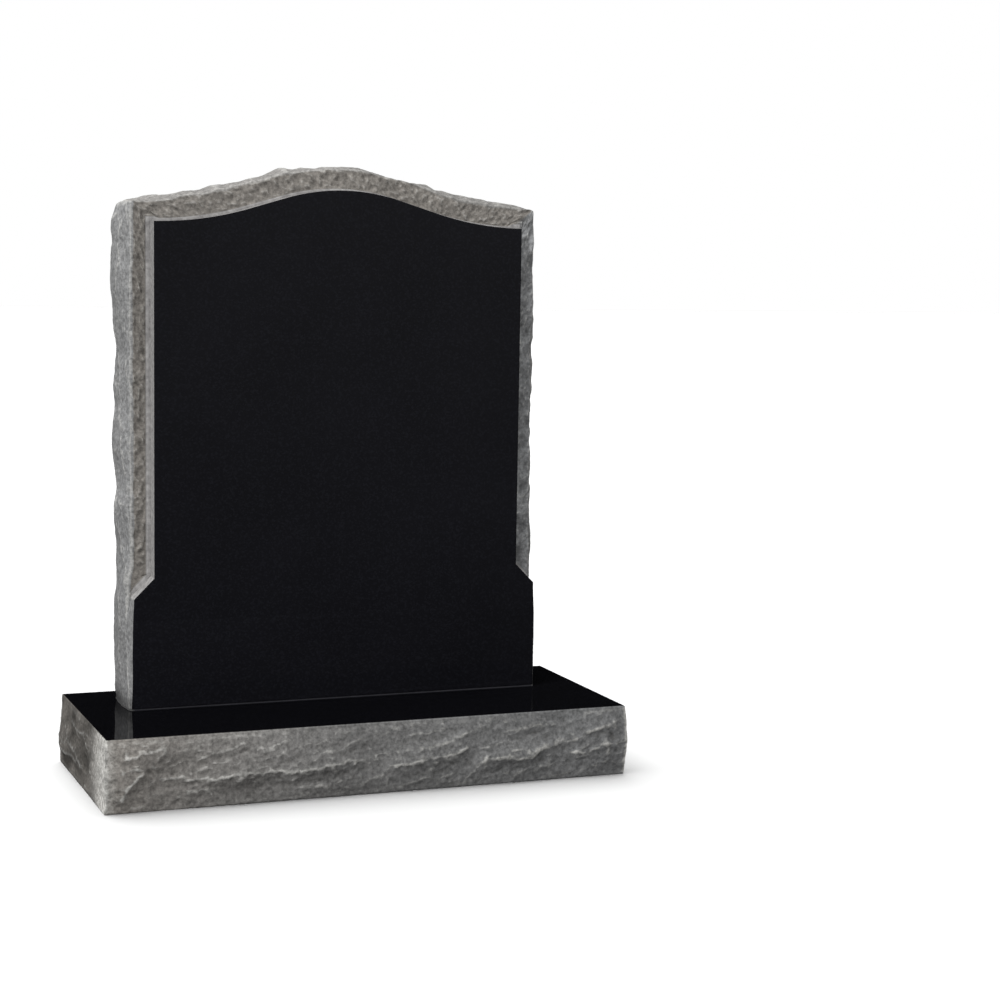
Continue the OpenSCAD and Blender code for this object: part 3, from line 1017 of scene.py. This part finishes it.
tablet_mesh = stone_mesh(
    "pitched_tablet", tablet_world.reshape(-1, 3),
    list(tablet_quads.reshape(-1, 4)) + [foot_quad],
    list(tablet_finish.ravel()) + [POLISHED],
    [(front_cap, POLISHED), (back_cap, SAWN), (foot_cap, SAWN)],
    {
        "out": t_normals.reshape(-1, 3),
        "rough": t_rough.ravel(),
        "painted_highlight_and_shade": tablet_painted_light.ravel(),
        "pale": np.zeros(columns * rows),
        "warm": t_warm.ravel(),
        "tone": t_tone.ravel(),
        "saw": saw_dist.ravel(),
    },
)
tablet_piece = broken_stone(tablet_mesh, **{"Chip Size": 0.008, "Chip Depth": 0.0008})
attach(tablet_piece, "root")
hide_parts("tablet")

# ---- setting bed: the thin grey bed of stone setter's compound that the tablet stands on,
# pointed flush all round its foot, so that only a hairline of it shows ----

foot = tablet_points[:, :, :2][[0, -1]]              # right edge, left edge, front to back
front_n = 150          # points along its front
foot_line = np.concatenate([
    np.stack([np.linspace(-half_w + 1, half_w - 1, front_n), np.full(front_n, eased)], 1),
    foot[0, 1:], foot[1, :0:-1]])
apart = np.linalg.norm(foot_line - np.roll(foot_line, 1, 0), axis=1) > 0.2
foot_line = foot_line[apart]
middle = np.array([0.0, tablet_t / 2])
bed_rows = []
for share, inset in ((0.0, -0.7), (0.35, -0.2), (0.7, 0.2), (1.0, 0.4)):
    pull = inset + 0.4 * drift(np.arange(len(foot_line)) * 4.0, share * 3.0, 21, 14.0)
    line = foot_line - np.sign(foot_line - middle) * np.minimum(
        pull[:, None], np.abs(foot_line - middle) * 0.5)
    line[:front_n, 0] = foot_line[:front_n, 0]
    bed_rows.append(np.column_stack([line, np.full(len(line), (share - 1) * bed_h)]))
bed_points = np.stack(bed_rows, 1) + (0, face_y, foot_z)
index, bed_quads = closed_grid(bed_points)
# the sides and back of the bed are painted paler: painted light against the shade in the narrow
# joint
rough_side = np.arange(len(bed_points)) >= front_n
bed_mesh = stone_mesh(
    "bed_of_compound", bed_points.reshape(-1, 3), bed_quads, [PITCHED] * len(bed_quads),
    [(index[:, -1], SAWN), (index[::-1, 0], SAWN)],
    {"dust_and_painted_light": np.repeat(rough_side, bed_points.shape[1]) * 1.0})
bed_piece = bpy.data.objects.new("bed_of_compound", bed_mesh)
scene.collection.objects.link(bed_piece)

# Setting compound: a lime and resin putty, matt and dark grey, with sand in it, and painted
# paler beside the tablet's rough edges: painted light that lifts the shade in the joint there.
putty, nt, shader = new_material("setting_compound")
sand = add_node(nt, "ShaderNodeTexNoise", {
    "Vector": add_node(nt, "ShaderNodeTexCoord").outputs["Object"],
    "Scale": 1 / 0.003, "Detail": 3.0})
fresh = add_node(nt, "ShaderNodeMix", {
    "Factor": sand.outputs["Fac"], 6: linear("#1f1f23"), 7: linear("#2e2e33")},
    data_type="RGBA")
nt.links.new(add_node(nt, "ShaderNodeMix", {
    "Factor": add_node(nt, "ShaderNodeAttribute", attribute_name="dust_and_painted_light").outputs["Fac"],
    6: fresh.outputs[2], 7: linear("#3c3c3c")},
    data_type="RGBA").outputs[2], shader.inputs["Base Color"])
nt.links.new(add_node(nt, "ShaderNodeBump", {
    "Strength": 0.4, "Distance": 0.0004, "Height": sand.outputs["Fac"]}).outputs[0],
    shader.inputs["Normal"])
shader.inputs["Roughness"].default_value = 0.85
bed_mesh.materials.append(putty)
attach(bed_piece, "root")
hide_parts("setting_bed")

low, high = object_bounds()
